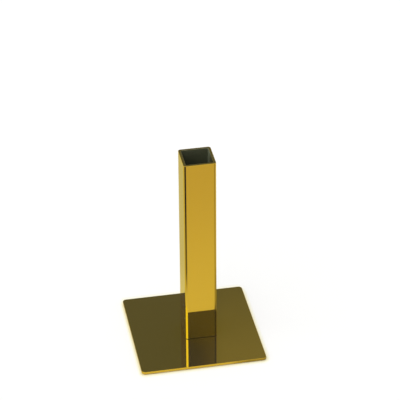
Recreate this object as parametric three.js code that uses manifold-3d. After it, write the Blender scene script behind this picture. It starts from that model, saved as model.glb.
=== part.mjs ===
// Square bud vase: an open square tube that stands on a flat square plate and is screwed to it from below.
// Millimetres, +Z up. The origin is on the table under the middle of the plate, +X runs to the right along
// the plate's front edge and -Y faces the viewer.

import * as THREE from "three";
import { mergeVertices } from "three/addons/utils/BufferGeometryUtils.js";
import Module from "manifold-3d";

// Driving dimensions of the plate
const PLATE_SIDE = 100;
const PLATE_THICKNESS = 2;
const PLATE_CORNER_RADIUS = 3;
const PLATE_EDGE_ROUNDING = 0.2;

// Driving dimensions of the tube, which stands a little off the middle of the plate
const TUBE_SIDE = 25.4;
const TUBE_WALL = 2.1;
const TUBE_HEIGHT = 162.5;
const TUBE_CORNER_RADIUS = 2;
const TUBE_RIM_ROUNDING = 0.2;
const TUBE_BORE_LEAST_RADIUS = 0.5;
const TUBE_OFFSET_X = 4.25;
const TUBE_OFFSET_Y = -1.25;

// Driving dimensions of the two countersunk socket screws
const SCREW_THREAD_DIAMETER = 3;
const SCREW_HEAD_DIAMETER = 5.6;
const SCREW_HEAD_RIM = 0.2;
const SCREW_HEAD_SINK = 0.1;
const SCREW_LENGTH = 8;
const SCREW_TIP_CHAMFER = 0.4;
const SCREW_DISTANCE_FROM_BORE_WALL = 5.6;
const SOCKET_ACROSS_FLATS = 2;
const SOCKET_DEPTH = 1.1;

// Driving dimensions of the plug that closes the foot of the tube
const PLUG_FLOOR = 2;
const PLUG_EDGE_ROUNDING = 0.4;
const HOLE_RUNOUT = 0.6;
const DRILL_POINT_ANGLE = 118;

// Driving dimensions of the four stick-on pads
const PAD_DIAMETER = 10;
const PAD_THICKNESS = 0.6;
const PAD_EDGE_ROUNDING = 0.2;
const PAD_INSET = 12;

// Clearances, all measured on one side
const BRAZING_CLEARANCE = 0.1;
const THREAD_CLEARANCE = 0.1;
const SHANK_CLEARANCE = 0.25;
const HEAD_CLEARANCE = 0.1;

// Fineness of the curves
const ARC_STEPS = 4;
const ROUNDING_STEPS = 3;
const ROUND_SIDES = 40;
const PAD_ROUNDING_STEPS = 3;
const MERGE_DISTANCE = 1e-4;
const CUT_OVERRUN = 1;

// Heights and places that follow from the driving dimensions
const plateTop = PAD_THICKNESS + PLATE_THICKNESS;
const boreSide = TUBE_SIDE - 2 * TUBE_WALL;
const boreCornerRadius = Math.max(TUBE_CORNER_RADIUS - TUBE_WALL, TUBE_BORE_LEAST_RADIUS);
const screwHalfSpacing = boreSide / 2 - SCREW_DISTANCE_FROM_BORE_WALL;
const screwReach = SCREW_LENGTH + SCREW_HEAD_SINK - PLATE_THICKNESS;
const threadHoleRadius = SCREW_THREAD_DIAMETER / 2 + THREAD_CLEARANCE;
const threadHoleDepth = screwReach + HOLE_RUNOUT;
const drillPointHeight = threadHoleRadius / Math.tan(THREE.MathUtils.degToRad(DRILL_POINT_ANGLE / 2));
const plugHeight = threadHoleDepth + drillPointHeight + PLUG_FLOOR;

// Finishes
const goldFinish = { color: 0xcca738, roughness: 0.06, metalness: 1 };
const brassFinish = { color: 0xb08a45, roughness: 0.45, metalness: 1 };
const steelFinish = { color: 0xa9abad, roughness: 0.3, metalness: 1 };
const rubberFinish = { color: 0x2a2a2b, roughness: 0.8, metalness: 0 };

const wasm = await Module();
wasm.setup();

// A closed three.js geometry as a solid that can be cut.
function solidFrom(geometry) {
  const bare = geometry.clone();
  bare.deleteAttribute("normal");
  bare.deleteAttribute("uv");
  const merged = mergeVertices(bare, MERGE_DISTANCE);
  return new wasm.Manifold(
    new wasm.Mesh({
      numProp: 3,
      vertProperties: merged.attributes.position.array,
      triVerts: new Uint32Array(merged.index.array),
    }),
  );
}

// A cut solid as a three.js geometry again.
function geometryFrom(solid) {
  const { vertProperties, triVerts } = solid.getMesh();
  const geometry = new THREE.BufferGeometry();
  geometry.setAttribute("position", new THREE.BufferAttribute(vertProperties, 3));
  geometry.setIndex(new THREE.BufferAttribute(triVerts, 1));
  geometry.computeVertexNormals();
  return geometry;
}

// The outline of a square with round corners, centred on the origin.
function roundedSquare(side, radius, outline) {
  const reach = side / 2 - radius;
  const quarter = Math.PI / 2;
  const corners = [
    [reach, reach],
    [-reach, reach],
    [-reach, -reach],
    [reach, -reach],
  ];
  corners.forEach(([x, y], turn) => {
    outline.absarc(x, y, radius, turn * quarter, (turn + 1) * quarter);
  });
  outline.closePath();
  return outline;
}

// A prism from z = 0 up to the given height, with its end edges rounded inside its own outline.
function roundedPrism(outline, height, rounding) {
  const geometry = new THREE.ExtrudeGeometry(outline, {
    depth: height - 2 * rounding,
    curveSegments: ARC_STEPS,
    bevelEnabled: true,
    bevelThickness: rounding,
    bevelSize: rounding,
    bevelOffset: -rounding,
    bevelSegments: ROUNDING_STEPS,
  });
  return geometry.translate(0, 0, rounding);
}

// A turned shape about the Z axis, from a list of [radius, height] that starts and ends on the axis.
function turned(profile) {
  const points = profile.map(([radius, height]) => new THREE.Vector2(radius, height));
  return new THREE.LatheGeometry(points, ROUND_SIDES).rotateX(Math.PI / 2);
}

// The places of the two screws, seen from the middle of the tube.
function screwPlaces() {
  return [-screwHalfSpacing, screwHalfSpacing];
}

// The countersunk hole of one screw through the plate, on the axis, for a plate that starts at z = 0.
function plateHole() {
  const headRadius = SCREW_HEAD_DIAMETER / 2 + HEAD_CLEARANCE;
  const shankRadius = SCREW_THREAD_DIAMETER / 2 + SHANK_CLEARANCE;
  const rimTop = SCREW_HEAD_SINK + SCREW_HEAD_RIM;
  return turned([
    [0, -CUT_OVERRUN],
    [headRadius, -CUT_OVERRUN],
    [headRadius, rimTop],
    [shankRadius, rimTop + headRadius - shankRadius],
    [shankRadius, PLATE_THICKNESS + CUT_OVERRUN],
    [0, PLATE_THICKNESS + CUT_OVERRUN],
  ]);
}

function basePlate() {
  const outline = roundedSquare(PLATE_SIDE, PLATE_CORNER_RADIUS, new THREE.Shape());
  let plate = solidFrom(roundedPrism(outline, PLATE_THICKNESS, PLATE_EDGE_ROUNDING));
  for (const x of screwPlaces()) {
    const hole = plateHole().translate(TUBE_OFFSET_X + x, TUBE_OFFSET_Y, 0);
    plate = plate.subtract(solidFrom(hole));
  }
  return geometryFrom(plate);
}

function squareTube() {
  const outline = roundedSquare(TUBE_SIDE, TUBE_CORNER_RADIUS, new THREE.Shape());
  outline.holes.push(roundedSquare(boreSide, boreCornerRadius, new THREE.Path()));
  return roundedPrism(outline, TUBE_HEIGHT, TUBE_RIM_ROUNDING);
}

// The blind threaded hole of one screw, drilled up into the plug from z = 0.
function threadHole() {
  return turned([
    [0, -CUT_OVERRUN],
    [threadHoleRadius, -CUT_OVERRUN],
    [threadHoleRadius, threadHoleDepth],
    [0, threadHoleDepth + drillPointHeight],
  ]);
}

function footPlug() {
  const side = boreSide - 2 * BRAZING_CLEARANCE;
  const outline = roundedSquare(side, boreCornerRadius, new THREE.Shape());
  let plug = solidFrom(roundedPrism(outline, plugHeight, PLUG_EDGE_ROUNDING));
  for (const x of screwPlaces()) {
    plug = plug.subtract(solidFrom(threadHole().translate(x, 0, 0)));
  }
  return geometryFrom(plug);
}

// One countersunk screw, head down, with the flat of its head at z = 0.
function fixingScrew() {
  const headRadius = SCREW_HEAD_DIAMETER / 2;
  const threadRadius = SCREW_THREAD_DIAMETER / 2;
  const body = solidFrom(
    turned([
      [0, 0],
      [headRadius, 0],
      [headRadius, SCREW_HEAD_RIM],
      [threadRadius, SCREW_HEAD_RIM + headRadius - threadRadius],
      [threadRadius, SCREW_LENGTH - SCREW_TIP_CHAMFER],
      [threadRadius - SCREW_TIP_CHAMFER, SCREW_LENGTH],
      [0, SCREW_LENGTH],
    ]),
  );
  const socketRadius = SOCKET_ACROSS_FLATS / Math.sqrt(3);
  const socketHeight = SOCKET_DEPTH + CUT_OVERRUN;
  const socket = new THREE.CylinderGeometry(socketRadius, socketRadius, socketHeight, 6);
  socket.rotateX(Math.PI / 2).translate(0, 0, SOCKET_DEPTH - socketHeight / 2);
  return geometryFrom(body.subtract(solidFrom(socket)));
}

// One stick-on pad from z = 0 up, its lower edge rounded.
function rubberPad() {
  const radius = PAD_DIAMETER / 2;
  const profile = [[0, 0]];
  for (let step = 0; step <= PAD_ROUNDING_STEPS; step++) {
    const angle = ((step / PAD_ROUNDING_STEPS) * Math.PI) / 2;
    profile.push([
      radius - PAD_EDGE_ROUNDING * (1 - Math.sin(angle)),
      PAD_EDGE_ROUNDING * (1 - Math.cos(angle)),
    ]);
  }
  profile.push([radius, PAD_THICKNESS], [0, PAD_THICKNESS]);
  return turned(profile);
}

// One named piece of the vase.
function piece(name, geometry, finish, x = 0, y = 0, z = 0) {
  const mesh = new THREE.Mesh(geometry, new THREE.MeshStandardMaterial(finish));
  mesh.name = name;
  mesh.position.set(x, y, z);
  return mesh;
}

function standAssembly() {
  const stand = new THREE.Group();
  stand.add(piece("base_plate", basePlate(), goldFinish, 0, 0, PAD_THICKNESS));
  const padReach = PLATE_SIDE / 2 - PAD_INSET;
  for (const [row, y] of [["front", -padReach], ["back", padReach]]) {
    for (const [column, x] of [["left", -padReach], ["right", padReach]]) {
      stand.add(piece(`pad_${row}_${column}`, rubberPad(), rubberFinish, x, y));
    }
  }
  return stand;
}

// The tube with its plug and screws, measured from the middle of the tube on the plate's top.
function tubeAssembly() {
  const upright = new THREE.Group();
  upright.position.set(TUBE_OFFSET_X, TUBE_OFFSET_Y, plateTop);
  upright.add(piece("tube", squareTube(), goldFinish));
  upright.add(piece("foot_plug", footPlug(), brassFinish));
  const headFlat = SCREW_HEAD_SINK - PLATE_THICKNESS;
  screwPlaces().forEach((x, index) => {
    const side = ["left", "right"][index];
    upright.add(piece(`fixing_screw_${side}`, fixingScrew(), steelFinish, x, 0, headFlat));
  });
  return upright;
}

const vase = new THREE.Group();
vase.add(standAssembly(), tubeAssembly());

export default vase;
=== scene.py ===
"""Square bud vase: a polished gold tube screwed to a polished gold plate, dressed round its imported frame.

Everything is in metres. Z is up, X runs along the plate's front edge and -Y faces the viewer.
"""

import math

import bmesh
import bpy
from mathutils import Matrix, Vector


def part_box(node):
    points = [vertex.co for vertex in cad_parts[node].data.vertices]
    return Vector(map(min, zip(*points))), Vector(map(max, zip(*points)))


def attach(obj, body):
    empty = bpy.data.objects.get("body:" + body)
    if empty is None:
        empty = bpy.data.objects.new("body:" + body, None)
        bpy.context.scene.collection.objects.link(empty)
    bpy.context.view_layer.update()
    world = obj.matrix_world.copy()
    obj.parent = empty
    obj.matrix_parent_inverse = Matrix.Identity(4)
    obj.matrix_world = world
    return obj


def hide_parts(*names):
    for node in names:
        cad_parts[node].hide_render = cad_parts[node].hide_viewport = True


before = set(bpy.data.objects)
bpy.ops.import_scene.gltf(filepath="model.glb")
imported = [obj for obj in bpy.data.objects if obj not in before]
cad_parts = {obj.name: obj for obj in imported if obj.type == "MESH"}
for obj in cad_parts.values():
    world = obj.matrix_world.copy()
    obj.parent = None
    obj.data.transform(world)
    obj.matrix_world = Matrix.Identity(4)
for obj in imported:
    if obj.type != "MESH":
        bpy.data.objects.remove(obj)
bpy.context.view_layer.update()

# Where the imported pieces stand
plate_low, plate_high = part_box("base_plate")
tube_low, tube_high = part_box("tube")
plug_low, plug_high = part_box("foot_plug")
screw_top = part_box("fixing_screw_left")[1].z
tube_centre = (tube_low + tube_high) / 2
tube_side = tube_high.x - tube_low.x

# The camera that the photograph was taken with
PHOTO_WIDTH = 400
SENSOR_WIDTH = 36.0
FOCAL_PIXELS = 1978.7
CAMERA_AZIMUTH = math.radians(-10.459)
CAMERA_ELEVATION = math.radians(32.677)
CAMERA_ROLL = math.radians(-0.487)
CAMERA_DISTANCE = 1.54881
CAMERA_SIGHT = 20
AIM_HEIGHT = 0.0906
AIM_ACROSS = 0.00617
AIM_UP = 0.02932

# Plate
PLATE_CORNER_RADIUS = 0.003
PLATE_EDGE_ROUNDING = 0.0002
PLATE_CORNER_STEPS = 16
EDGE_STEPS = 6

# Tube
TUBE_WALL = 0.0021
TUBE_CORNER_RADIUS = 0.002
BORE_CORNER_RADIUS = 0.0005
TUBE_RIM_ROUNDING = 0.0002
TUBE_FOOT_ROUNDING = 0.0004
TUBE_CORNER_STEPS = 14
bore_reach = tube_side / 2 - TUBE_WALL

# Foot plug
PLUG_EDGE_ROUNDING = 0.0004
THREAD_HOLE_RADIUS = 0.0016
HOLE_RUNOUT = 0.0006
DRILL_POINT_ANGLE = math.radians(118)

# Screws
THREAD_RADIUS = 0.0015
THREAD_PITCH = 0.0005
THREAD_DEPTH = 0.00031
THREAD_CREST = 0.00007
THREAD_OVERLAP = 0.00003
THREAD_START = 0.0005
THREAD_STEPS = 32
HEAD_RADIUS = 0.0028
HEAD_RIM = 0.0002
HEAD_EDGE_BREAK = 0.00006
HEAD_EDGE_STEPS = 2
TIP_CHAMFER = 0.0004
SOCKET_ACROSS_FLATS = 0.002
SOCKET_DEPTH = 0.0011
SOCKET_POINT = 0.0003
SOCKET_SIDES = 6
HEAD_CLEARANCE = 0.0001
SHANK_CLEARANCE = 0.00025
HEAD_SINK = 0.0001
HOLE_SIDES = 64

# Pads
PAD_EDGE_ROUNDING = 0.0002
PAD_TAPE_THICKNESS = 0.00015
PAD_TAPE_INSET = 0.00012
PAD_DISH_RADIUS = 0.0034
PAD_DISH_DEPTH = 0.00012
PAD_DISH_SLOPE = 3
PAD_SIDES = 72

# The order of the finishes on the tube, and on a pad
TUBE_OUTSIDE, TUBE_BORE, TUBE_GROOVE = range(3)
PAD_BODY, PAD_TOP = range(2)

# Shading and cutting
SMOOTH_ANGLE = math.radians(32)
FLAT_WEIGHT = 100
SAME_AREA = 0.1
MILLIMETRES = 1000
ARC_PROFILE = 0.5
LEVEL_ENOUGH = 0.999
NEAR = 1e-6
MERGE_DISTANCE = 1e-7
OVERRUN = 0.001


# Modelling helpers

def deselect_all():
    bpy.ops.object.select_all(action="DESELECT")


def select_only(piece):
    deselect_all()
    bpy.context.view_layer.objects.active = piece
    piece.select_set(True)


def named(name):
    """Names the object that was just added, and puts its place into its mesh."""
    made = bpy.context.object
    made.name = name
    made.data.name = name
    bpy.ops.object.transform_apply(location=True, rotation=True, scale=True)
    return made


def block(name, low, high):
    """A box between two corners."""
    deselect_all()
    bpy.ops.mesh.primitive_cube_add(size=1, location=(low + high) / 2, scale=high - low)
    return named(name)


def disc_prism(name, x, y, low, high, radius, sides):
    """A round or many-sided bar from one height to another."""
    deselect_all()
    bpy.ops.mesh.primitive_cylinder_add(
        vertices=sides, radius=radius, depth=high - low, location=(x, y, (low + high) / 2)
    )
    return named(name)


def edit(piece):
    """Opens one piece in edit mode with nothing selected in it."""
    select_only(piece)
    bpy.ops.object.mode_set(mode="EDIT")
    bpy.ops.mesh.select_all(action="DESELECT")


def leave():
    bpy.ops.object.mode_set(mode="OBJECT")


def pick(piece, kind, test):
    """Selects, in edit mode, the faces or edges of a piece that pass a test on their corners."""
    bpy.ops.mesh.select_mode(type=kind)
    bpy.ops.mesh.select_all(action="DESELECT")
    mesh = bmesh.from_edit_mesh(piece.data)
    for part in mesh.faces if kind == "FACE" else mesh.edges:
        if test([corner.co for corner in part.verts]):
            part.select_set(True)
    mesh.select_flush_mode()
    bmesh.update_edit_mesh(piece.data)


def at_height(z):
    """Makes a test for edges or faces that lie at one height."""
    return lambda corners: all(abs(c.z - z) < NEAR for c in corners)


def upright(corners):
    """A test for edges that stand straight up."""
    a, b = corners
    return abs(a.x - b.x) < NEAR and abs(a.y - b.y) < NEAR


def on_circle(corners, x, y, radius):
    """A test for edges with both ends on an upright cylinder."""
    return all(abs(math.hypot(c.x - x, c.y - y) - radius) < NEAR for c in corners)


def round_edges(offset, steps):
    bpy.ops.mesh.bevel(
        offset=offset, offset_type="OFFSET", segments=steps, profile=ARC_PROFILE, affect="EDGES"
    )


def extrude_up(rise):
    bpy.ops.mesh.extrude_region_move(TRANSFORM_OT_translate={"value": (0, 0, rise)})


def shrink(share, centre):
    """Scales what is selected in X and Y about a centre."""
    bpy.ops.transform.resize(value=(share, share, 1), center_override=centre)


def combine(piece, other, operation):
    """Changes the piece by another closed form, which is used up."""
    select_only(piece)
    modifier = piece.modifiers.new("combine", "BOOLEAN")
    modifier.operation = operation
    modifier.solver = "EXACT"
    modifier.object = other
    bpy.ops.object.modifier_apply(modifier=modifier.name)
    bpy.data.objects.remove(other)


def cut(piece, cutter):
    """Takes the cutter's space out of the piece."""
    combine(piece, cutter, "DIFFERENCE")


def fuse(piece, other):
    """Joins another closed form to the piece as one skin."""
    combine(piece, other, "UNION")


def smooth(piece):
    """Soft shading over the roundings, with the flats kept exactly flat.

    The faces are weighed by their areas, and those can only be told apart in square millimetres.
    """
    select_only(piece)
    bpy.ops.object.shade_smooth_by_angle(angle=SMOOTH_ANGLE)
    piece.data.transform(Matrix.Scale(MILLIMETRES, 4))
    modifier = piece.modifiers.new("flats", "WEIGHTED_NORMAL")
    modifier.mode = "FACE_AREA"
    modifier.weight = FLAT_WEIGHT
    modifier.thresh = SAME_AREA
    modifier.keep_sharp = True
    bpy.ops.object.modifier_apply(modifier=modifier.name)
    piece.data.transform(Matrix.Scale(1 / MILLIMETRES, 4))


def clean(piece):
    """Merges what touches and turns every face outwards."""
    edit(piece)
    bpy.ops.mesh.select_all(action="SELECT")
    bpy.ops.mesh.remove_doubles(threshold=MERGE_DISTANCE)
    bpy.ops.mesh.normals_make_consistent(inside=False)
    leave()


def finish_with(piece, *materials):
    piece.data.materials.clear()
    for material in materials:
        piece.data.materials.append(material)


def copy_of(piece, name, offset):
    """A copy with its own mesh, moved by an offset."""
    made = piece.copy()
    made.data = piece.data.copy()
    made.name = name
    made.data.name = name
    made.data.transform(Matrix.Translation(offset))
    bpy.context.scene.collection.objects.link(made)
    return made


# Shader helpers

class Signal:
    """A value that varies over a surface. Sums on it are written as sums on numbers."""

    def __init__(self, finish, socket):
        self.finish = finish
        self.socket = socket

    def math(self, operation, *values):
        return self.finish.node("ShaderNodeMath", {"operation": operation}, values)

    def __add__(self, other):
        return self.math("ADD", self, other)

    def __sub__(self, other):
        return self.math("SUBTRACT", self, other)

    def __rsub__(self, other):
        return self.math("SUBTRACT", other, self)

    def __mul__(self, other):
        return self.math("MULTIPLY", self, other)

    def __truediv__(self, other):
        return self.math("DIVIDE", self, other)

    def __neg__(self):
        return self.math("MULTIPLY", self, -1)

    __radd__ = __add__
    __rmul__ = __mul__

    def larger(self, other):
        """The larger of two values."""
        return self.math("MAXIMUM", self, other)

    def length_with(self, other):
        """The length of a line that runs this far one way and the other value far across it."""
        square = self * self + other * other
        return self.math("SQRT", square)

    def angle_from(self, ahead):
        """The angle, in radians, between straight ahead and a spot that lies this far to the side."""
        return self.math("ARCTAN2", self, ahead)

    def ramp(self, low, high, at_low=0.0, at_high=1.0):
        """A smooth change from one value to another as this one goes from low to high."""
        settings = {"interpolation_type": "SMOOTHSTEP"}
        values = {"Value": self, "From Min": low, "From Max": high, "To Min": at_low, "To Max": at_high}
        return self.finish.node("ShaderNodeMapRange", settings, values, "Result")

    def fade(self, low, high):
        """A smooth change from 1 to 0 as this value goes from low to high."""
        return self.ramp(low, high, 1.0, 0.0)


class Finish:
    """One material or world, made of procedural nodes."""

    # The colour sockets of a Mix node, which go by number because its other kinds share their names
    MIX_SHARE, MIX_LOW, MIX_HIGH, MIX_RESULT = 0, 6, 7, 2

    def __init__(self, owner):
        owner.use_nodes = True
        self.owner = owner
        self.tree = owner.node_tree
        self.tree.nodes.clear()

    def node(self, kind, settings=None, values=(), output=0):
        """Adds a node. Its settings are set first, then its sockets get numbers or links."""
        made = self.tree.nodes.new(kind)
        for key, value in (settings or {}).items():
            setattr(made, key, value)
        pairs = values.items() if isinstance(values, dict) else enumerate(values)
        for key, value in pairs:
            socket = made.inputs[key]
            if isinstance(value, Signal):
                self.tree.links.new(value.socket, socket)
            else:
                socket.default_value = value
        return Signal(self, made.outputs[output]) if made.outputs else made

    def spot(self):
        """The place on the surface, in object coordinates."""
        return self.node("ShaderNodeTexCoord", None, (), "Object")

    def ray(self, kind):
        """What Light Path tells of a ray, such as 1 if it comes from the camera and else 0."""
        return self.node("ShaderNodeLightPath", None, (), kind)

    def parts(self, place):
        """The x, y and z of a place or direction."""
        return [self.node("ShaderNodeSeparateXYZ", None, (place,), axis) for axis in "XYZ"]

    def noise(self, scale, detail=2.0, stretch=(1, 1, 1)):
        """A cloudy pattern from 0 to 1, drawn out along the axes whose stretch is small."""
        place = self.node("ShaderNodeMapping", None, {"Vector": self.spot(), "Scale": stretch})
        values = {"Vector": place, "Scale": scale, "Detail": detail}
        return self.node("ShaderNodeTexNoise", None, values, "Fac")

    def blend(self, share, low, high):
        """A colour between two, by a number from 0 to 1."""
        values = {self.MIX_SHARE: share, self.MIX_LOW: low, self.MIX_HIGH: high}
        return self.node("ShaderNodeMix", {"data_type": "RGBA"}, values, self.MIX_RESULT)

    def bump(self, pattern, height, over=None):
        """Relief that follows a pattern, with its height in metres, on top of another relief if given."""
        values = {"Strength": 1.0, "Distance": height, "Height": pattern}
        if over:
            values["Normal"] = over
        return self.node("ShaderNodeBump", None, values)

    def surface(self, values):
        """Ends the material in one Principled shader."""
        shader = self.node("ShaderNodeBsdfPrincipled", None, values)
        self.node("ShaderNodeOutputMaterial", None, {"Surface": shader})
        return self.owner


def new_finish(name):
    return Finish(bpy.data.materials.new(name))


def colour(red, green, blue):
    """A colour from linear values."""
    return (red, green, blue, 1.0)


# Polished gold, with its swell, polishing lines, smudges and lacquer
GOLD = colour(0.64, 0.412, 0.03)
GOLD_EDGE = colour(0.86, 0.80, 0.26)
GOLD_ROUGHNESS = 0.03
SWELL_SCALE = 18.0
SWELL_HEIGHT = 0.00006
POLISHING_SCALE = 900.0
POLISHING_HEIGHT = 0.0000006
POLISHING_ROUGHNESS = 0.02
SMUDGE_SCALE = 45.0
SMUDGE_RANGE = (0.45, 0.75)
SMUDGE_ROUGHNESS = 0.02
LACQUER = 0.6
LACQUER_ROUGHNESS = 0.8


def polished_gold(name, grain):
    """Mirror-polished gold under clear lacquer, with faint polishing lines along the grain."""
    finish = new_finish(name)
    swell = finish.noise(SWELL_SCALE, detail=1.0)
    lines = finish.noise(POLISHING_SCALE, stretch=grain)
    smudge = finish.noise(SMUDGE_SCALE, detail=3.0).ramp(*SMUDGE_RANGE)
    waves = finish.bump(swell, SWELL_HEIGHT)
    return finish.surface({
        "Base Color": GOLD,
        "Metallic": 1.0,
        "Roughness": lines * POLISHING_ROUGHNESS + smudge * SMUDGE_ROUGHNESS + GOLD_ROUGHNESS,
        "Specular Tint": GOLD_EDGE,
        "Coat Weight": LACQUER,
        "Coat Roughness": LACQUER_ROUGHNESS,
        "Normal": finish.bump(lines, POLISHING_HEIGHT, over=waves),
    })


# The bore, with its drawing lines and film patches, and painted light that makes the right wall lighter
# towards the back
BORE_BRASS = colour(0.2, 0.21, 0.12)
BORE_FILM = colour(0.13, 0.14, 0.085)
BORE_PAINTED_LIGHT = colour(0.36, 0.38, 0.24)
BORE_FRONT = colour(0.15, 0.13, 0.05)
BORE_METALLIC = 0.7
BORE_ROUGHNESS = 0.35
DRAWING_SCALE = 700.0
DRAWING_HEIGHT = 0.00002
DRAWING_ROUGHNESS = 0.15
FILM_SCALE = 120.0
FILM_ROUGHNESS = 0.1
RIGHT_WALL_START = 0.0004
RIGHT_WALL_FULL = 0.0001
PAINTED_LIGHT_FULL = 0.005


def bore_metal():
    """The inside of the tube, dull under a thin film, with painted light that makes the right wall lighter
    towards the back.
    """
    finish = new_finish("dull_bore")
    lines = finish.noise(DRAWING_SCALE, stretch=(1, 1, 0.03))
    patches = finish.noise(FILM_SCALE, detail=3.0)
    base = finish.blend(patches, BORE_BRASS, BORE_FILM)
    x, y, _ = finish.parts(finish.spot())
    right_wall = (x - tube_centre.x).ramp(bore_reach - RIGHT_WALL_START, bore_reach - RIGHT_WALL_FULL)
    # painted light: the right wall is coloured lighter towards the back
    right_wall_painted_light = finish.blend((y - tube_centre.y).ramp(0.0, PAINTED_LIGHT_FULL), BORE_FRONT, BORE_PAINTED_LIGHT)
    return finish.surface({
        "Base Color": finish.blend(right_wall, base, right_wall_painted_light),
        "Metallic": BORE_METALLIC,
        "Roughness": lines * DRAWING_ROUGHNESS + patches * FILM_ROUGHNESS + BORE_ROUGHNESS,
        "Normal": finish.bump(lines, DRAWING_HEIGHT),
    })


# Painted shade in the groove round the tube's foot
GROOVE_SHADE_DARK = colour(0.012, 0.01, 0.006)
GROOVE_SHADE_PALE = colour(0.05, 0.04, 0.02)
GROOVE_ROUGHNESS = 0.5
SPECKLE_SCALE = 1500.0
SPECKLE_HEIGHT = 0.00004
SPECKLE_ROUGHNESS = 0.3


def groove_painted_shade():
    """The dark line where the tube meets the plate: painted shade in the groove, speckled."""
    finish = new_finish("groove_painted_shade")
    speckle = finish.noise(SPECKLE_SCALE, detail=3.0)
    return finish.surface({
        # painted shade: near-black colour in the groove where the tube meets the plate
        "Base Color": finish.blend(speckle, GROOVE_SHADE_DARK, GROOVE_SHADE_PALE),
        "Roughness": speckle * SPECKLE_ROUGHNESS + GROOVE_ROUGHNESS,
        "Normal": finish.bump(speckle, SPECKLE_HEIGHT),
    })


# Bar brass, with its saw lines and stains
PLAIN_BRASS = colour(0.43, 0.29, 0.11)
STAINED_BRASS = colour(0.33, 0.2, 0.07)
BRASS_ROUGHNESS = 0.25
SAW_SCALE = 1600.0
SAW_HEIGHT = 0.00001
SAW_ROUGHNESS = 0.2
STAIN_SCALE = 150.0
STAIN_ROUGHNESS = 0.1


def plain_brass():
    """Sawn and faced bar brass."""
    finish = new_finish("plain_brass")
    lines = finish.noise(SAW_SCALE, stretch=(1, 0.04, 0.2))
    stain = finish.noise(STAIN_SCALE, detail=3.0)
    return finish.surface({
        "Base Color": finish.blend(stain, PLAIN_BRASS, STAINED_BRASS),
        "Metallic": 1.0,
        "Roughness": lines * SAW_ROUGHNESS + stain * STAIN_ROUGHNESS + BRASS_ROUGHNESS,
        "Normal": finish.bump(lines, SAW_HEIGHT),
    })


# Screw steel, with the grain of the thread roller
STEEL = colour(0.42, 0.42, 0.43)
STEEL_ROUGHNESS = 0.18
ROLLING_SCALE = 2500.0
ROLLING_HEIGHT = 0.000008
ROLLING_ROUGHNESS = 0.25


def screw_steel():
    """Stainless steel as it comes from the header and the thread roller."""
    finish = new_finish("screw_steel")
    grain = finish.noise(ROLLING_SCALE, detail=3.0, stretch=(1, 1, 0.3))
    return finish.surface({
        "Base Color": STEEL,
        "Metallic": 1.0,
        "Roughness": grain * ROLLING_ROUGHNESS + STEEL_ROUGHNESS,
        "Normal": finish.bump(grain, ROLLING_HEIGHT),
    })


# Pad rubber, with its grain and dust
RUBBER = colour(0.03, 0.03, 0.032)
DUSTY_RUBBER = colour(0.07, 0.07, 0.07)
RUBBER_ROUGHNESS = 0.65
GRAIN_SCALE = 3200.0
GRAIN_HEIGHT = 0.00003
GRAIN_ROUGHNESS = 0.2
DUST_SCALE = 500.0
DUST_RANGE = (0.5, 0.8)
DUST_SHARE = 0.4


def pad_rubber():
    """Matte moulded rubber with a fine grain."""
    finish = new_finish("pad_rubber")
    grain = finish.noise(GRAIN_SCALE)
    dust = finish.noise(DUST_SCALE, detail=3.0).ramp(*DUST_RANGE)
    return finish.surface({
        "Base Color": finish.blend(dust * DUST_SHARE, RUBBER, DUSTY_RUBBER),
        "Roughness": grain * GRAIN_ROUGHNESS + RUBBER_ROUGHNESS,
        "Normal": finish.bump(grain, GRAIN_HEIGHT),
    })


# The sticky layer of a pad
TAPE = colour(0.55, 0.55, 0.5)
TAPE_SHADE = colour(0.45, 0.45, 0.41)
TAPE_ROUGHNESS = 0.5
TAPE_SCALE = 1800.0
TAPE_HEIGHT = 0.00002
TAPE_GRAIN_ROUGHNESS = 0.2


def pad_tape():
    """The pale sticky layer on the top of a pad."""
    finish = new_finish("pad_tape")
    grain = finish.noise(TAPE_SCALE)
    return finish.surface({
        "Base Color": finish.blend(grain, TAPE, TAPE_SHADE),
        "Roughness": grain * TAPE_GRAIN_ROUGHNESS + TAPE_ROUGHNESS,
        "Normal": finish.bump(grain, TAPE_HEIGHT),
    })


# Base plate

def screw_axes():
    """The x and y of each screw, and the height of the flat of its head."""
    axes = {}
    for side in ("left", "right"):
        low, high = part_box(f"fixing_screw_{side}")
        axes[side] = ((low.x + high.x) / 2, (low.y + high.y) / 2, low.z)
    return axes


def countersink(x, y):
    """The space of one countersunk hole."""
    rim_top = plate_low.z + HEAD_SINK + HEAD_RIM
    head = HEAD_RADIUS + HEAD_CLEARANCE
    shank = THREAD_RADIUS + SHANK_CLEARANCE
    cutter = disc_prism("countersink", x, y, plate_low.z - OVERRUN, rim_top, head, HOLE_SIDES)
    edit(cutter)
    pick(cutter, "FACE", at_height(rim_top))
    extrude_up(head - shank)
    shrink(shank / head, (x, y, rim_top))
    extrude_up(plate_high.z + OVERRUN - rim_top - head + shank)
    leave()
    return cutter


def base_plate():
    plate = block("base_plate_polished", plate_low, plate_high)
    edit(plate)
    pick(plate, "EDGE", upright)
    round_edges(PLATE_CORNER_RADIUS, PLATE_CORNER_STEPS)
    for z in (plate_low.z, plate_high.z):
        pick(plate, "EDGE", at_height(z))
        round_edges(PLATE_EDGE_ROUNDING, EDGE_STEPS)
    leave()
    for x, y, _ in screw_axes().values():
        cut(plate, countersink(x, y))
    clean(plate)
    smooth(plate)
    finish_with(plate, polished_gold("polished_gold_plate", grain=(1, 0.02, 1)))
    return plate


# Tube

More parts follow.
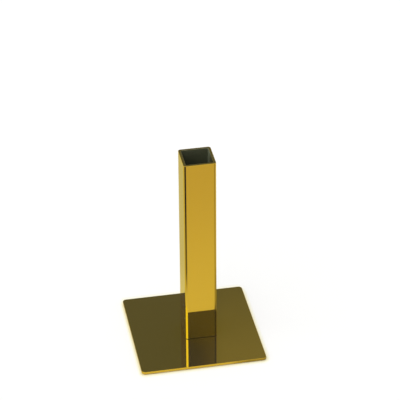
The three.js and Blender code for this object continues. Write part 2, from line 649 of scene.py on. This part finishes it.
def square_ring(side, radius):
    """Adds a rounded square outline, in edit mode, round the tube's centre at its foot."""
    bpy.ops.mesh.primitive_plane_add(size=side, location=(tube_centre.x, tube_centre.y, tube_low.z))
    bpy.ops.mesh.bevel(offset=radius, segments=TUBE_CORNER_STEPS, profile=ARC_PROFILE, affect="VERTICES")
    bpy.ops.mesh.delete(type="ONLY_FACE")


def in_bore(corner):
    """True for a corner on the bore's skin or inside it."""
    return max(abs(corner.x - tube_centre.x), abs(corner.y - tube_centre.y)) < bore_reach + NEAR


def crosses_wall(corners):
    """A test for edges that run through the wall, from the outside to the bore."""
    a, b = corners
    return in_bore(a) != in_bore(b)


def faces_centre(face):
    """True for a face of the tube that looks towards the tube's middle."""
    inward = Vector((tube_centre.x, tube_centre.y, face.center.z)) - face.center
    return face.normal.dot(inward) > 0


def square_tube():
    """The tube, drawn as two outlines at its foot and pulled up. It starts as an emptied plane."""
    deselect_all()
    bpy.ops.mesh.primitive_plane_add(size=tube_side, location=(tube_centre.x, tube_centre.y, tube_low.z))
    tube = named("tube_polished")
    edit(tube)
    bpy.ops.mesh.select_all(action="SELECT")
    bpy.ops.mesh.delete(type="VERT")
    square_ring(tube_side, TUBE_CORNER_RADIUS)
    square_ring(2 * bore_reach, BORE_CORNER_RADIUS)
    bpy.ops.mesh.select_all(action="SELECT")
    bpy.ops.mesh.bridge_edge_loops()
    bpy.ops.mesh.select_all(action="SELECT")
    extrude_up(tube_high.z - tube_low.z)
    leave()
    clean(tube)
    edit(tube)
    for z, rounding in ((tube_low.z, TUBE_FOOT_ROUNDING), (tube_high.z, TUBE_RIM_ROUNDING)):
        pick(tube, "EDGE", lambda corners: at_height(z)(corners) and not crosses_wall(corners))
        round_edges(rounding, EDGE_STEPS)
    leave()
    smooth(tube)
    finish_tube(tube)
    return tube


def finish_tube(tube):
    """Gold outside, dull metal in the bore and inside the rim, and painted shade in the groove round the
    foot.
    """
    gold = polished_gold("polished_gold_tube", grain=(1, 1, 0.02))
    finish_with(tube, gold, bore_metal(), groove_painted_shade())
    foot_top = tube_low.z + TUBE_FOOT_ROUNDING + NEAR
    rim_foot = tube_high.z - TUBE_RIM_ROUNDING - NEAR
    for face in tube.data.polygons:
        corners = [tube.data.vertices[i].co for i in face.vertices]
        in_rim = all(c.z > rim_foot for c in corners)
        inner_rim = in_rim and face.normal.z < LEVEL_ENOUGH and faces_centre(face)
        if inner_rim or all(in_bore(c) for c in corners):
            face.material_index = TUBE_BORE
        elif all(c.z < foot_top for c in corners):
            face.material_index = TUBE_GROOVE
        else:
            face.material_index = TUBE_OUTSIDE


# Foot plug

def thread_hole(x, y):
    """The space of one blind threaded hole."""
    top = screw_top + HOLE_RUNOUT
    cutter = disc_prism("thread_hole", x, y, plug_low.z - OVERRUN, top, THREAD_HOLE_RADIUS, HOLE_SIDES)
    edit(cutter)
    pick(cutter, "FACE", at_height(top))
    extrude_up(THREAD_HOLE_RADIUS / math.tan(DRILL_POINT_ANGLE / 2))
    bpy.ops.mesh.merge(type="CENTER")
    leave()
    return cutter


def foot_plug():
    plug = block("foot_plug_brass", plug_low, plug_high)
    edit(plug)
    pick(plug, "EDGE", upright)
    round_edges(BORE_CORNER_RADIUS, EDGE_STEPS)
    for z in (plug_low.z, plug_high.z):
        pick(plug, "EDGE", at_height(z))
        round_edges(PLUG_EDGE_ROUNDING, EDGE_STEPS)
    leave()
    for x, y, _ in screw_axes().values():
        cut(plug, thread_hole(x, y))
    clean(plug)
    smooth(plug)
    finish_with(plug, plain_brass())
    return plug


# Screws

def thread_ridge(x, y, low, high):
    """The helical ridge of a rolled thread, as a closed form round the core."""
    root = THREAD_RADIUS - THREAD_DEPTH - THREAD_OVERLAP
    half_root = THREAD_PITCH / 2 - THREAD_OVERLAP
    deselect_all()
    bpy.ops.mesh.primitive_plane_add(size=1, location=(0, 0, 0))
    ridge = named("thread")
    lower_left, lower_right, upper_left, upper_right = ridge.data.vertices
    lower_left.co = (root, 0, -half_root)
    lower_right.co = (THREAD_RADIUS, 0, -THREAD_CREST)
    upper_right.co = (THREAD_RADIUS, 0, THREAD_CREST)
    upper_left.co = (root, 0, half_root)
    outline_corners = len(ridge.data.vertices)
    sweep = ridge.modifiers.new("sweep", "SCREW")
    sweep.angle = 2 * math.pi
    sweep.screw_offset = THREAD_PITCH
    sweep.iterations = int((high - low) / THREAD_PITCH) - 1
    sweep.steps = THREAD_STEPS
    sweep.render_steps = THREAD_STEPS
    bpy.ops.object.modifier_apply(modifier=sweep.name)
    ridge.data.transform(Matrix.Translation((x, y, low + THREAD_PITCH)))
    edit(ridge)
    bpy.ops.mesh.select_all(action="SELECT")
    bpy.ops.mesh.fill_holes(sides=outline_corners)
    leave()
    clean(ridge)
    return ridge


def hex_socket(x, y, low):
    """The space of the key socket, with the cone that a drill leaves at its end."""
    radius = SOCKET_ACROSS_FLATS / math.sqrt(3)
    top = low + SOCKET_DEPTH - SOCKET_POINT
    cutter = disc_prism("hex_socket", x, y, low - OVERRUN, top, radius, SOCKET_SIDES)
    edit(cutter)
    pick(cutter, "FACE", at_height(top))
    extrude_up(SOCKET_POINT)
    bpy.ops.mesh.merge(type="CENTER")
    leave()
    return cutter


def fixing_screw(name, x, y, low):
    screw = disc_prism(name, x, y, low, low + HEAD_RIM, HEAD_RADIUS, HOLE_SIDES)
    core = THREAD_RADIUS - THREAD_DEPTH
    shoulder = low + HEAD_RIM + HEAD_RADIUS - THREAD_RADIUS
    centre = (x, y, low)
    edit(screw)
    pick(screw, "FACE", at_height(low + HEAD_RIM))
    extrude_up(HEAD_RADIUS - THREAD_RADIUS)
    shrink(THREAD_RADIUS / HEAD_RADIUS, centre)
    extrude_up(THREAD_START)
    extrude_up(THREAD_DEPTH)
    shrink(core / THREAD_RADIUS, centre)
    extrude_up(screw_top - TIP_CHAMFER - shoulder - THREAD_START - THREAD_DEPTH)
    extrude_up(TIP_CHAMFER)
    shrink((core - TIP_CHAMFER) / core, centre)
    pick(screw, "EDGE", at_height(low))
    round_edges(HEAD_EDGE_BREAK, HEAD_EDGE_STEPS)
    leave()
    fuse(screw, thread_ridge(x, y, shoulder + THREAD_START, screw_top - TIP_CHAMFER))
    cut(screw, hex_socket(x, y, low))
    clean(screw)
    smooth(screw)
    finish_with(screw, screw_steel())
    return screw


# Pads

def rubber_pad(name, low, high):
    """A stick-on pad: a sticky layer on top, and a shallow dish and a round edge below."""
    x, y = (low.x + high.x) / 2, (low.y + high.y) / 2
    radius = (high.x - low.x) / 2
    tape_low = high.z - PAD_TAPE_THICKNESS
    pad = disc_prism(name, x, y, low.z, tape_low, radius, PAD_SIDES)
    edit(pad)
    pick(pad, "FACE", at_height(tape_low))
    bpy.ops.mesh.inset(thickness=PAD_TAPE_INSET)
    extrude_up(PAD_TAPE_THICKNESS)
    pick(pad, "FACE", at_height(low.z))
    bpy.ops.mesh.inset(thickness=radius - PAD_DISH_RADIUS)
    bpy.ops.mesh.inset(thickness=PAD_DISH_DEPTH * PAD_DISH_SLOPE, depth=-PAD_DISH_DEPTH)
    pick(pad, "EDGE", lambda corners: at_height(low.z)(corners) and on_circle(corners, x, y, radius))
    round_edges(PAD_EDGE_ROUNDING, EDGE_STEPS)
    leave()
    clean(pad)
    smooth(pad)
    finish_with(pad, pad_rubber(), pad_tape())
    for face in pad.data.polygons:
        heights = [pad.data.vertices[i].co.z for i in face.vertices]
        on_tape = min(heights) > tape_low - NEAR and max(heights) > tape_low + NEAR
        face.material_index = PAD_TOP if on_tape else PAD_BODY
    return pad


# The whole vase

def dress():
    """Makes every piece and puts each on the frame in place of its node."""
    made = [
        (base_plate(), "base_plate", "polished_gold"),
        (square_tube(), "tube", "polished_gold"),
        (foot_plug(), "foot_plug", "plain_brass"),
    ]
    axes = screw_axes()
    left = fixing_screw("fixing_screw_left_steel", *axes["left"])
    offset = Vector(axes["right"]) - Vector(axes["left"])
    right = copy_of(left, "fixing_screw_right_steel", offset)
    made += [(left, "fixing_screw_left", "screw_steel"), (right, "fixing_screw_right", "screw_steel")]
    low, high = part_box("pad_front_left")
    first = rubber_pad("pad_front_left_rubber", low, high)
    made.append((first, "pad_front_left", "pad_rubber"))
    for place in ("front_right", "back_left", "back_right"):
        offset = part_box(f"pad_{place}")[0] - low
        made.append((copy_of(first, f"pad_{place}_rubber", offset), f"pad_{place}", "pad_rubber"))
    for piece, node, slot in made:
        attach(piece, "root")
        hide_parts(node)


dress()


# Studio helpers, for ranges in degrees

def radians(span):
    return [math.radians(degrees) for degrees in span]


def sines(span):
    return [math.sin(angle) for angle in radians(span)]


def cosines(span):
    return [math.cos(angle) for angle in radians(span)]


def tangents(span):
    return [math.tan(angle) for angle in radians(span)]


# Floor
FLOOR_REACH = 4.0
FLOOR_SEEN = colour(1.0, 1.0, 0.99)
FLOOR_COLOUR = colour(0.9, 0.9, 0.9)
FLOOR_LEVEL = 1.03
PAPER_ROUGHNESS = 0.9
PAPER_GLOSS = 0.1
SHADOW_LIFT = 0.5
LIFT_RANGE = (-0.0002, 0.0015)

# Painted gold light on the paper round the plate, which fades sooner on the left and later behind
FLOOR_PAINTED_GOLD = colour(1.0, 0.953, 0.66)
PAINTED_GOLD_RANGE = (0.0, 0.0042)
LEFT_COUNTS = 1.25
BEHIND_COUNTS = 0.5

# The floor as painted for the polished metal's reflections only, by direction from the tube in degrees and
# by distance in metres
FLOOR_NEAR = colour(0.96, 0.94, 0.96)
FLOOR_FAR = colour(0.79, 0.725, 0.73)
MIRROR_PAINTED_DARK = colour(0, 0, 0)
FAR_RANGE = (0.03, 0.28)
DARK_START = (2, 12)
DARK_END = (72, 84)
DARK_NEAR = (0.074, 0.12)
DARK_NEAR_SHARE = 0.8
DARK_FAR = (0.11, 0.24)
DARK_FAR_SHARE = 0.19
DIM_START = (15, 32)
DIM_END = (45, 100)
DIM_RANGE = (0.08, 0.12)
DIM_CLOSE_END = (110, 170)
DIM_SHARE = 0.5
BEHIND_RANGE = (0.03, 0.12)
BEHIND_SIDE = 0.18
BEHIND_SHARE = 0.18


def painted_floor_in_mirror(finish):
    """The floor as the polished metal shows it: a painted reflection, whose colours only glossy rays see.

    It is painted duller further ahead, nearly black further out at the front left, half as bright at the
    front right and, close to the tube, also further round, and a little duller at the back left.
    """
    x, y, _ = finish.parts(finish.spot())
    right, back = x - tube_centre.x, y - tube_centre.y
    left, ahead = -right, -back
    distance = right.length_with(back)
    leftward = left.angle_from(ahead)
    sector = leftward.ramp(*radians(DARK_START)) * leftward.fade(*radians(DARK_END))
    depth = distance.ramp(*DARK_NEAR) * DARK_NEAR_SHARE + distance.ramp(*DARK_FAR) * DARK_FAR_SHARE
    dark = sector * depth
    rightward = right.angle_from(ahead)
    bright_again = rightward.ramp(*radians(DIM_END)) * distance.ramp(*DIM_RANGE)
    bright_again = bright_again.larger(rightward.ramp(*radians(DIM_CLOSE_END)))
    shade = rightward.ramp(*radians(DIM_START), 1, DIM_SHARE) + bright_again * DIM_SHARE
    sideways = (right / distance).ramp(-BEHIND_SIDE, BEHIND_SIDE, BEHIND_SHARE, 0)
    behind = back.ramp(*BEHIND_RANGE) * sideways
    pale = finish.blend(ahead.ramp(*FAR_RANGE), FLOOR_NEAR, FLOOR_FAR)
    return finish.blend(shade * (1 - behind) * (1 - dark), MIRROR_PAINTED_DARK, pale)


def beyond_plate(finish):
    """How far a spot on the floor lies outside the plate. It counts more on the left and less behind."""
    x, y, _ = finish.parts(finish.spot())
    across = (x - plate_high.x).larger((plate_low.x - x) * LEFT_COUNTS)
    along = (plate_low.y - y).larger((y - plate_high.y) * BEHIND_COUNTS)
    across = (across + PLATE_CORNER_RADIUS).larger(0.0)
    along = (along + PLATE_CORNER_RADIUS).larger(0.0)
    return across.length_with(along) - PLATE_CORNER_RADIUS


def floor():
    """White paper. Near the plate it is painted with the gold light that the polished edges throw on it."""
    deselect_all()
    bpy.ops.mesh.primitive_plane_add(size=2 * FLOOR_REACH, location=(0, 0, 0))
    made = named("floor")
    finish = new_finish("pale_floor")
    seen = finish.ray("Is Camera Ray")
    mirrored = finish.ray("Is Glossy Ray")
    away = beyond_plate(finish)
    # painted light: a gold tint on the paper round the plate, fading with distance from it
    painted_gold_light = finish.blend(away.ramp(*PAINTED_GOLD_RANGE), FLOOR_PAINTED_GOLD, FLOOR_SEEN)
    base = finish.blend(seen, FLOOR_COLOUR, painted_gold_light)
    # painted reflection: glossy rays see this painted floor instead of the paper
    base = finish.blend(mirrored, base, painted_floor_in_mirror(finish))
    values = {"Base Color": base, "Roughness": PAPER_ROUGHNESS, "Specular IOR Level": PAPER_GLOSS}
    paper = finish.node("ShaderNodeBsdfPrincipled", None, values)
    # painted light: outside the plate the paper glows in its own colour for camera and glossy rays, so its
    # shadow shows at half strength
    glow = finish.node("ShaderNodeEmission", None, {"Color": base, "Strength": FLOOR_LEVEL})
    lift = (seen + mirrored) * away.ramp(*LIFT_RANGE) * SHADOW_LIFT
    mixed = finish.node("ShaderNodeMixShader", None, (lift, paper, glow))
    finish.node("ShaderNodeOutputMaterial", None, {"Surface": mixed})
    finish_with(made, finish.owner)


# The window, by its direction to the left of straight ahead and its half width, foot and head in degrees
WINDOW_LIGHT = colour(2.4, 2.4, 2.4)
WINDOW_ONCE = colour(1.35, 1.36, 1.4)
WINDOW_TWICE = colour(2.15, 3.3, 7.0)
WINDOW_AZIMUTH = math.radians(55)
WINDOW_SIDES = (55, 48)
WINDOW_FOOT = (22, 27)
WINDOW_HEAD = (46, 52)

# The ceiling and the pale horizon, by height in degrees
CEILING_LIGHT = colour(1.35, 1.35, 1.35)
CEILING_START = (42, 62)
HORIZON_LIGHT = colour(0.9, 0.9, 0.9)
HORIZON_END = (24, 31.5)

# The walls between them. Those in front look plain in one reflection, and bluer in a second one
WHITE = colour(1, 1, 1)
ROOM_PLAIN = colour(0.13, 0.135, 0.14)
ROOM_FRONT = colour(0.155, 0.225, 0.35)
ROOM_SIDE = colour(0.05, 0.08, 0.13)
ROOM_BACK = colour(0.126, 0.144, 0.16)
ROOM_TURN = (-0.3, 0.3)
SIDE_START = (9.5, 17)
UPPER_SIDE = (-10.9, -10.2)
UPPER_START = (36, 36.9)
UPPER_SHARE = 0.8
GLOW_SHARE = 0.14
GLOW_SIDE = (10, 11.4)
GLOW_START = (33.8, 37.5)
GLOW_BACK = (0.1, 0.3)
ONE_BOUNCE, TWO_BOUNCES = 1.0, 2.0


def window_share(x, y, z):
    """1 where a direction looks out of the window, and 0 elsewhere."""
    facing = x * -math.sin(WINDOW_AZIMUTH) - y * math.cos(WINDOW_AZIMUTH)
    within = (facing / x.length_with(y)).ramp(*cosines(WINDOW_SIDES))
    return within * z.ramp(*sines(WINDOW_FOOT)) * z.fade(*sines(WINDOW_HEAD))


def walls(finish, x, y, z, twice):
    """The colour of the walls in a direction."""
    upper = (x / y).ramp(*tangents(UPPER_SIDE)) * z.ramp(*sines(UPPER_START)) * UPPER_SHARE
    front = finish.blend(x.ramp(*sines(SIDE_START)), ROOM_FRONT, ROOM_SIDE)
    front = finish.blend(upper, front, ROOM_SIDE)
    front = finish.blend(twice, ROOM_PLAIN, front)
    room = finish.blend(y.ramp(*ROOM_TURN), front, ROOM_BACK)
    glow = (x / y).ramp(*tangents(GLOW_SIDE)) * z.ramp(*sines(GLOW_START)) * y.ramp(*GLOW_BACK)
    return finish.blend(glow * GLOW_SHARE, room, WHITE)


def studio():
    """White all round for the camera. Else a pale horizon, dim walls, a bright ceiling and a window."""
    world = bpy.data.worlds.new("studio")
    bpy.context.scene.world = world
    finish = Finish(world)
    x, y, z = finish.parts(finish.node("ShaderNodeTexCoord", None, (), "Generated"))
    twice = finish.ray("Glossy Depth").ramp(ONE_BOUNCE, TWO_BOUNCES)
    room = walls(finish, x, y, z, twice)
    room = finish.blend(z.fade(*sines(HORIZON_END)), room, HORIZON_LIGHT)
    room = finish.blend(z.ramp(*sines(CEILING_START)), room, CEILING_LIGHT)
    shine = finish.blend(twice, WINDOW_ONCE, WINDOW_TWICE)
    window_light = finish.blend(finish.ray("Is Glossy Ray"), WINDOW_LIGHT, shine)
    room = finish.blend(window_share(x, y, z), room, window_light)
    all_round = finish.blend(finish.ray("Is Camera Ray"), room, WHITE)
    background = finish.node("ShaderNodeBackground", None, {"Color": all_round})
    finish.node("ShaderNodeOutputWorld", None, {"Surface": background})


def camera():
    back = Vector((
        math.sin(CAMERA_AZIMUTH) * math.cos(CAMERA_ELEVATION),
        -math.cos(CAMERA_AZIMUTH) * math.cos(CAMERA_ELEVATION),
        math.sin(CAMERA_ELEVATION),
    ))
    right = (-back).cross(Vector((0, 0, 1))).normalized()
    up = right.cross(-back)
    tilted_right = math.cos(CAMERA_ROLL) * right + math.sin(CAMERA_ROLL) * up
    tilted_up = math.cos(CAMERA_ROLL) * up - math.sin(CAMERA_ROLL) * right
    aim = Vector((0, 0, AIM_HEIGHT)) + AIM_ACROSS * tilted_right + AIM_UP * tilted_up
    data = bpy.data.cameras.new("camera")
    data.sensor_width = SENSOR_WIDTH
    data.lens = SENSOR_WIDTH * FOCAL_PIXELS / PHOTO_WIDTH
    data.clip_end = CAMERA_SIGHT
    made = bpy.data.objects.new("camera", data)
    bpy.context.scene.collection.objects.link(made)
    turn = Matrix((tilted_right, tilted_up, back)).transposed()
    made.matrix_world = Matrix.Translation(aim + back * CAMERA_DISTANCE) @ turn.to_4x4()
    bpy.context.scene.camera = made


floor()
studio()
camera()
bpy.context.scene.view_settings.view_transform = "Standard"
